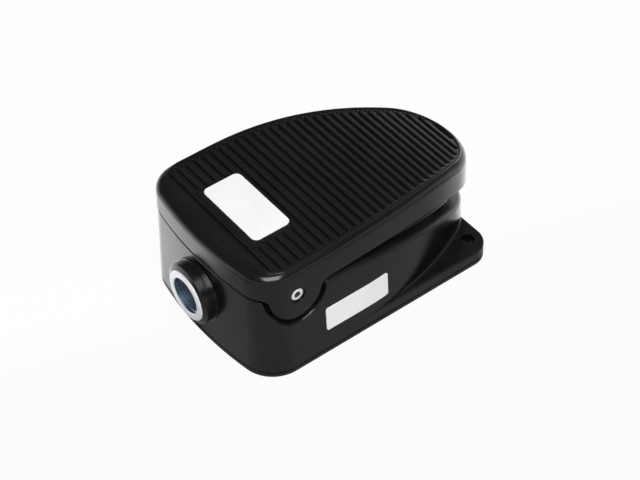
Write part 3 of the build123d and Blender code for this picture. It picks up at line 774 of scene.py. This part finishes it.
@dataclass
class ConduitEntry:
    """Threaded bushing of the conduit entry, with a true helical thread, and its locknut."""

    paints: Paintbox
    axis_z: float = 30.4 * MM
    face_y: float = 90.0 * MM
    inner_y: float = 70.5 * MM
    outer_r: float = 14.6 * MM
    crest_r: float = 10.3 * MM
    root_r: float = 11.2 * MM
    pitch: float = 1.81 * MM
    turns: float = 9.0
    lead_in: float = 1.5 * MM
    tooth_rest: float = 0.12 * MM
    tooth_sunk: float = 0.15 * MM
    crest_half: float = 0.1 * MM
    mouth_r: float = 10.4 * MM
    mouth_edge: float = 0.4 * MM
    edge: float = 0.5 * MM
    steps: int = 96

    def build(self) -> None:
        """Build and dress the entry."""
        self.paints.dress_nodes({"conduit_locknut": Finishes.ZINC})
        ring = self.bushing()
        self.paints.dress_piece(ring, Finishes.FACED)
        ring.data.materials.append(self.paints.material(Finishes.THREAD))
        for face in ring.data.polygons:
            inside = math.hypot(face.center.x, face.center.z - self.axis_z) < self.root_r + 0.1 * MM
            face.material_index = int(inside and face.center.y < self.face_y - self.mouth_edge)
        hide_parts("conduit_bushing")
        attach(ring, Body.BASE.value)

    def bushing(self) -> Object:
        """The bushing's ring with the thread's ridge wound inside it."""
        mesh = bmesh.new()
        face, inner, lip = self.face_y, self.inner_y, self.mouth_edge
        root, outer, edge = self.root_r, self.outer_r, self.edge
        profile = [
            (root, inner), (outer - edge, inner), (outer, inner + edge), (outer, face - edge),
            (outer - edge, face), (self.mouth_r + lip, face), (self.mouth_r, face - lip),
            (self.mouth_r, face - 2 * lip), (root, face - 3 * lip),
        ]
        verts, edges = section(mesh, [(r, y, self.axis_z) for r, y in profile])
        centre = Vector((0, 0, self.axis_z))
        bmesh.ops.spin(mesh, geom=verts + edges, cent=centre, axis=(0, 1, 0), angle=math.tau,
                       steps=self.steps, use_merge=True, use_duplicate=False)
        rise = self.pitch / 2 - self.tooth_rest
        start = face - self.lead_in - rise
        foot, crest = root + self.tooth_sunk, self.crest_r
        tooth = [(foot, start + rise), (crest, start + self.crest_half),
                 (crest, start - self.crest_half), (foot, start - rise)]
        verts, edges = section(mesh, [(r, y, self.axis_z) for r, y in tooth])
        first = mesh.faces.new(verts)
        steps = round(self.turns * self.steps / 2)
        drop = Vector((0, -self.pitch * self.turns / steps, 0))
        bmesh.ops.spin(mesh, geom=[first] + verts + edges, cent=centre, axis=(0, 1, 0), dvec=drop,
                       angle=math.tau * self.turns, steps=steps, use_merge=False,
                       use_duplicate=False)
        return piece_from("threaded_bushing", mesh, smooth_deg=40.0)


@dataclass(frozen=True)
class PlanArc:
    """Arc of the base wall in plan, run through clockwise as seen from above."""

    centre: Vector
    radius: float
    start: float
    end: float
    steps: int


@dataclass
class WallStrip:
    """Thin strip of casting that follows the base wall's side arcs and nose in plan."""

    paints: Paintbox
    half: float = 54.9 * MM
    side_y: float = 15.0 * MM
    side_radius: float = 178.0 * MM
    nose: float = -85.5 * MM
    foot_z: float = 3.0 * MM
    draft_deg: float = 2.6

    name: ClassVar[str] = ""

    @property
    def lean(self) -> float:
        """How far the wall leans inward for each metre of height."""
        return math.tan(math.radians(self.draft_deg))

    @property
    def flare(self) -> float:
        """How far the centre of a side arc lies beyond the middle."""
        return self.side_radius - self.half

    @property
    def tip(self) -> float:
        """Radius of the nose at the wall's foot."""
        return nose_radius(self.side_y - self.nose, self.side_radius, self.flare)

    @property
    def turn(self) -> float:
        """Angle at which the side arc runs into the nose, in radians from +X towards -Y."""
        return math.atan2(self.side_y - self.nose - self.tip, self.flare)

    def side_arc(self, inset: float, start: float, end: float, steps: int,
                 side: int = 1) -> PlanArc:
        """Arc of one side, from +X towards -Y, or from -Y towards -X on the far side.

        Args:
            inset: Distance inside the wall's foot.
            start: Angle where it starts, in radians.
            end: Angle where it ends.
            steps: Steps between them.
            side: 1 for the side of +X, -1 for the side of -X.

        Returns:
            The arc.
        """
        centre = Vector((-side * self.flare, self.side_y, 0))
        return PlanArc(centre, self.side_radius - inset, start, end, steps)

    def nose_arc(self, inset: float, end: float, steps: int) -> PlanArc:
        """Arc of the nose, from the side of +X on.

        Args:
            inset: Distance inside the wall's foot.
            end: Angle where it ends, in radians.
            steps: Steps to there.

        Returns:
            The arc.
        """
        centre = Vector((0, self.nose + self.tip, 0))
        return PlanArc(centre, self.tip - inset, self.turn, end, steps)

    def sweep(self, mesh: BMesh, profile: Sequence[tuple[float, float]],
              arcs: Sequence[PlanArc]) -> None:
        """Turn a profile along arcs that run into each other, and settle each arc's vertices.

        Args:
            mesh: The bmesh it goes in.
            profile: Corners of the section as distance outward and upward.
            arcs: The arcs in order.
        """
        first = arcs[0]
        outward = Matrix.Rotation(-first.start, 3, "Z") @ Vector((1, 0, 0))
        verts, edges = section(mesh, [
            first.centre + outward * (first.radius + out) + Vector((0, 0, up))
            for out, up in profile])
        last = [mesh.faces.new(verts)] + verts + edges
        owners = {v: first for v in mesh.verts}
        for arc in arcs:
            made = bmesh.ops.spin(mesh, geom=last, cent=arc.centre, axis=(0, 0, 1),
                                  angle=arc.start - arc.end, steps=arc.steps,
                                  use_merge=False, use_duplicate=False)
            last = made["geom_last"]
            for vert in mesh.verts:
                owners.setdefault(vert, arc)
        for vert, arc in owners.items():
            self.settle(vert, arc)

    def settle(self, vert: BMVert, arc: PlanArc) -> None:
        """Move a swept vertex to its place on the casting.

        Args:
            vert: The vertex, at its profile's own height.
            arc: The arc it was turned about.
        """
        raise NotImplementedError

    def finish(self, mesh: BMesh) -> None:
        """Make the strip a piece, dress it and let it ride on the base."""
        piece = piece_from(self.name, mesh, smooth_deg=60.0)
        self.paints.dress_piece(piece, Finishes.CAST)
        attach(piece, Body.BASE.value)


@dataclass
class FootFillet(WallStrip):
    """Casting fillet along the foot of the base wall, run out where the flange is too narrow."""

    top_z: float = 9.5 * MM
    flat_x: float = 53.6 * MM
    flat_y: float = -72.7 * MM
    radius: float = 1.5 * MM
    least: float = 0.06
    bed: float = 0.3 * MM
    steps: int = 7
    side_steps: int = 44
    nose_steps: int = 20

    name: ClassVar[str] = "foot_fillet"

    @property
    def inset(self) -> float:
        """How far the wall has leaned in at the flange's top."""
        return (self.top_z - self.foot_z) * self.lean

    def build(self) -> None:
        """Build and dress the fillet on both sides."""
        back = self.inset - self.least * self.radius
        side_end = math.acos((self.flat_x + self.flare) / (self.side_radius - back))
        nose_end = math.asin((self.nose + self.tip - self.flat_y) / (self.tip - back))
        arcs = [self.side_arc(self.inset, side_end, self.turn, self.side_steps),
                self.nose_arc(self.inset, nose_end, self.nose_steps)]
        round_off = [(out - up * self.lean, up) for out, up in hollow(self.radius, self.steps)]
        profile = [(-self.bed, -self.bed), *round_off, (self.radius, -self.bed)]
        mesh = bmesh.new()
        self.sweep(mesh, profile, arcs)
        geom = list(mesh.verts) + list(mesh.edges) + list(mesh.faces)
        bmesh.ops.mirror(mesh, geom=geom, matrix=Matrix.Identity(4), merge_dist=-1.0, axis="X")
        self.finish(mesh)

    def settle(self, vert: BMVert, arc: PlanArc) -> None:
        """Shrink the section to the flat that the flange has there, and lift it onto the flange."""
        flat = vert.co - arc.centre
        ray = Vector((flat.x, flat.y, 0)).normalized()
        to_side = (self.flat_x - arc.centre.x) / ray.x
        to_front = (self.flat_y - arc.centre.y) / min(ray.y, -MERGE)
        room = min(to_side, to_front) - arc.radius
        share = min(max(room / self.radius, self.least), 1.0)
        out = (flat.x * ray.x + flat.y * ray.y - arc.radius) * share
        up = Vector((0, 0, self.top_z + flat.z * share))
        vert.co = arc.centre + ray * (arc.radius + out) + up


@dataclass
class GuardLip(WallStrip):
    """Low lip inside the base's rim, round which the treadle's skirt comes down."""

    inset: float = 6.95 * MM
    skin: float = 0.05 * MM
    rim_y: float = 53.24 * MM
    rim_z: float = -237.16 * MM
    rim_radius: float = 289.0 * MM
    sunk: float = 3.4 * MM
    height: float = 4.0 * MM
    thick: float = 2.0 * MM
    slope_deg: float = 5.0
    fillet: float = 0.65 * MM
    edge: float = 0.5 * MM
    side_steps: int = 40
    nose_steps: int = 56
    fillet_steps: int = 4

    name: ClassVar[str] = "guard_lip"

    def build(self) -> None:
        """Build and dress the lip round the whole front of the rim."""
        slope = math.tan(math.radians(self.slope_deg))
        crest, edge, back = self.height, self.edge, -self.thick
        cut = 0.3 * edge
        profile = [
            (self.fillet, -self.sunk), (self.fillet, -self.skin),
            *hollow(self.fillet, self.fillet_steps)[::-1],
            (-(crest - edge) * slope, crest - edge),
            (-cut - crest * slope, crest - cut),
            (-edge - crest * slope, crest), (edge + back, crest),
            (back, crest - edge), (back, -self.sunk),
        ]
        front = math.pi - self.turn
        arcs = [self.side_arc(self.inset, 0.0, self.turn, self.side_steps),
                self.nose_arc(self.inset, front, self.nose_steps),
                self.side_arc(self.inset, front, math.pi, self.side_steps, side=-1)]
        mesh = bmesh.new()
        self.sweep(mesh, profile, arcs)
        self.finish(mesh)

    def settle(self, vert: BMVert, arc: PlanArc) -> None:
        """Lift a vertex to the rim, which falls in an arc, and lean it in with the wall."""
        drop = vert.co.y - self.rim_y
        rim = self.rim_z + math.sqrt(self.rim_radius**2 - drop**2)
        flat = vert.co - arc.centre
        ray = Vector((flat.x, flat.y, 0)).normalized()
        vert.co = vert.co + Vector((0, 0, rim)) - ray * (rim - self.foot_z) * self.lean


# ---------------- sub-assemblies


@dataclass
class BaseUnit:
    """Cast base with its cover plate, gasket, screws, liner and hinge bushes."""

    paints: Paintbox

    def build(self) -> None:
        """Dress the nodes, and build the casting and its fine strips."""
        self.paints.dress_nodes({
            "bottom_plate": Finishes.PLATE, "bottom_gasket": Finishes.RUBBER,
            "cover_screws": Finishes.STEEL, "insulating_liner": Finishes.FIBRE,
            "hinge_bushes": Finishes.BRONZE, "ground_screw": Finishes.GREEN,
            "ground_washer": Finishes.BRASS, "side_label": Finishes.LABEL,
            "stop_bumpers": Finishes.RUBBER,
        })
        BaseCasting("base_housing", "base_casting", Body.BASE, Finishes.CAST).build(self.paints)
        FootFillet(self.paints).build()
        GuardLip(self.paints).build()


@dataclass
class TreadleUnit:
    """Cast treadle with its pin, springs, screws and label."""

    paints: Paintbox

    def build(self) -> None:
        """Dress the nodes, and build the casting and the springs."""
        self.paints.dress_nodes({
            "hinge_pin": Finishes.PIN, "top_label": Finishes.LABEL,
            "adjusting_screw": Finishes.STEEL, "adjusting_nut": Finishes.ZINC,
            "limit_bolt": Finishes.STEEL, "limit_nut": Finishes.ZINC,
            "limit_washer": Finishes.RUBBER,
        })
        Casting("treadle", "treadle_casting", Body.TREADLE, Finishes.TREAD).build(self.paints)
        ReturnSprings(self.paints).build()


@dataclass
class ReturnSprings:
    """The two return springs, between the deck and the treadle."""

    paints: Paintbox
    node: str = "return_springs"
    drop: float = 4.1 * MM

    def build(self) -> None:
        """Build and dress the springs from a merged copy of their node."""
        mesh = bmesh.new()
        mesh.from_mesh(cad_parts[self.node].data)
        made = piece_from("squeezed_springs", mesh, smooth_deg=60.0)
        self.paints.dress_piece(made, Finishes.SPRING)
        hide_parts(self.node)
        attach(made, Body.BASE.value)
        low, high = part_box(self.node)
        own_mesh(made)


@dataclass
class SwitchUnit:
    """Snap-action switch with its bracket, terminals, push pin and guide."""

    paints: Paintbox

    def build(self) -> None:
        """Dress the nodes."""
        self.paints.dress_nodes({
            "switch_case": Finishes.CASE, "switch_cap": Finishes.CASE,
            "switch_button": Finishes.BUTTON, "switch_terminals": Finishes.BRASS,
            "terminal_screws": Finishes.STEEL, "switch_bracket": Finishes.ZINC,
            "bracket_screws": Finishes.STEEL, "switch_screws": Finishes.STEEL,
            "switch_nuts": Finishes.ZINC, "push_pin": Finishes.STEEL,
            "pin_guide": Finishes.BRONZE, "guide_seal": Finishes.RUBBER,
        })


# ---------------- studio


@dataclass
class SoftBox:
    """Square lamp that looks at a point."""

    name: str
    towards: Vector
    distance: float
    size: float
    power: float

    def build(self, target: Vector) -> None:
        """Hang the lamp.

        Args:
            target: Point that it looks at.
        """
        data = bpy.data.lights.new(self.name, "AREA")
        data.shape, data.size, data.energy = "SQUARE", self.size, self.power
        lamp = linked(self.name, data)
        back = self.towards.normalized()
        lamp.location = target + back * self.distance
        lamp.rotation_mode = "QUATERNION"
        lamp.rotation_quaternion = back.to_track_quat("Z", "Y")


@dataclass
class Studio:
    """Pale floor, soft lamp, world and camera."""

    floor_size: float = 6.0
    away: tuple[float, float, float] = (0.95, -0.31, 0.0)
    # Painted shade: the floor's colour is darker on the camera's side than on the far side.
    painted_shade_ramp: tuple[float, float] = (-35.0 * MM, 12.0 * MM)
    # Painted light: for glossy rays the floor glows, more on the far side.
    painted_reflection_ramp: tuple[float, float] = (-22.0 * MM, 15.0 * MM)
    glow_ramp: tuple[float, float, float, float] = (0.02, 0.34, 1.0, 0.15)
    painted_shade_tone: Colour = rgb(0.37, 0.37, 0.38)
    far_tone: Colour = rgb(0.94, 0.94, 0.94)
    white: Colour = rgb(1.0, 1.0, 1.0)
    seen_share: float = 0.95
    stood_x: float = 48.0 * MM
    stood_y: float = 69.5 * MM
    stood_fade: float = 2.5 * MM
    target: Vector = Vector((-6.75 * MM, 7.53 * MM, 24.79 * MM))
    azimuth: float = 233.906
    elevation: float = 45.515
    roll: float = -1.76
    distance: float = 946.8 * MM
    focal_px: float = 1767.0
    frame_px: float = 640.0

    def build(self) -> None:
        """Build the floor, the world, the lamp and the camera."""
        self.floor()
        self.world()
        lamp = SoftBox("overhead_box", towards=Vector((-0.50, 0.24, 0.83)), distance=0.95,
                       size=0.62, power=10.2)
        lamp.build(target=Vector((0, 0, 30.0 * MM)))
        self.camera()
        LOG.info("studio ready")

    def floor(self) -> None:
        """Lay the pale floor: white to the camera apart from a faint shadow; its colour is darker
        on the camera's side as painted shade, and it glows for glossy rays on the far side as a
        painted reflection.
        """
        mesh = bmesh.new()
        bmesh.ops.create_grid(mesh, x_segments=1, y_segments=1, size=self.floor_size / 2)
        data = bpy.data.meshes.new("floor")
        mesh.to_mesh(data)
        mesh.free()
        floor = linked("floor", data)
        made = bpy.data.materials.new("pale_floor")
        kit = Tree.cleared(made)
        place = kit.node("TexCoord").outputs["Object"]
        depth = kit.node("VectorMath", {0: place, 1: self.away}, operation="DOT_PRODUCT").outputs[1]
        # Painted shade: the floor's colour darkens towards the camera's side.
        tone = kit.mix(kit.ramp(depth, *self.painted_shade_ramp), self.painted_shade_tone, self.far_tone)
        bare = kit.node("BsdfDiffuse", {"Color": tone}).outputs[0]
        rays = kit.node("LightPath").outputs
        # Painted reflection: glossy rays see the floor glow, brighter on the far side.
        shine = kit.math("MULTIPLY", rays["Is Glossy Ray"], kit.ramp(depth, *self.painted_reflection_ramp))
        painted_reflection = kit.node("Emission", {"Color": self.white, "Strength": shine}).outputs[0]
        lit = kit.node("AddShader", {0: bare, 1: painted_reflection}).outputs[0]
        white = kit.node("Emission", {"Color": self.white, "Strength": 1.0}).outputs[0]
        seen = kit.math("MAXIMUM", rays["Is Camera Ray"], rays["Is Transmission Ray"])
        axes = kit.node("SeparateXYZ", {0: place}).outputs
        past_x, past_y = (
            kit.ramp(kit.math("ABSOLUTE", axis), edge, edge + self.stood_fade)
            for axis, edge in ((axes[0], self.stood_x), (axes[1], self.stood_y)))
        beside = kit.math("MAXIMUM", past_x, past_y)
        share = kit.math("MULTIPLY", kit.math("MULTIPLY", seen, beside), self.seen_share)
        surface = kit.node("MixShader", {0: share, 1: lit, 2: white}).outputs[0]
        kit.node("OutputMaterial", {"Surface": surface})
        data.materials.append(made)

    def world(self) -> None:
        """Set the world: white to the camera, and else bright low down and dim above."""
        world = bpy.data.worlds.new("studio_world")
        kit = Tree.cleared(world)
        axes = kit.node("SeparateXYZ", {0: kit.node("TexCoord").outputs["Generated"]})
        level = kit.ramp(axes.outputs[2], *self.glow_ramp)
        rays = kit.node("LightPath").outputs
        seen = kit.math("MAXIMUM", rays["Is Camera Ray"], rays["Is Transmission Ray"])
        strength = kit.math("MAXIMUM", seen, level)
        glow = kit.node("Background", {"Color": self.white, "Strength": strength}).outputs[0]
        kit.node("OutputWorld", {"Surface": glow})
        bpy.context.scene.world = world

    def camera(self) -> None:
        """Set the camera as it was fitted to the photograph."""
        data = bpy.data.cameras.new("camera")
        data.sensor_width = 36.0
        data.lens = self.focal_px * data.sensor_width / self.frame_px
        data.clip_start, data.clip_end = 0.05, 20.0
        made = linked("camera", data)
        a, e = math.radians(self.azimuth), math.radians(self.elevation)
        back = Vector((math.sin(a) * math.cos(e), -math.cos(a) * math.cos(e), math.sin(e)))
        right = (-back).cross(Vector((0, 0, 1))).normalized()
        up = right.cross(-back)
        r = math.radians(self.roll)
        tilted = math.cos(r) * right + math.sin(r) * up
        raised = -math.sin(r) * right + math.cos(r) * up
        turned = Matrix((tilted, raised, back)).transposed()
        made.matrix_world = Matrix.Translation(self.target + back * self.distance) @ turned.to_4x4()
        bpy.context.scene.camera = made
        bpy.context.scene.view_settings.view_transform = "Standard"


def main() -> None:
    """Dress the CAD frame, add the fine pieces, and set up the studio."""
    logging.basicConfig(level=logging.INFO, format="%(name)s: %(message)s")
    paints = Paintbox()
    BaseUnit(paints).build()
    ConduitEntry(paints).build()
    TreadleUnit(paints).build()
    SwitchUnit(paints).build()
    Studio().build()


if __name__ == "__main__":
    main()
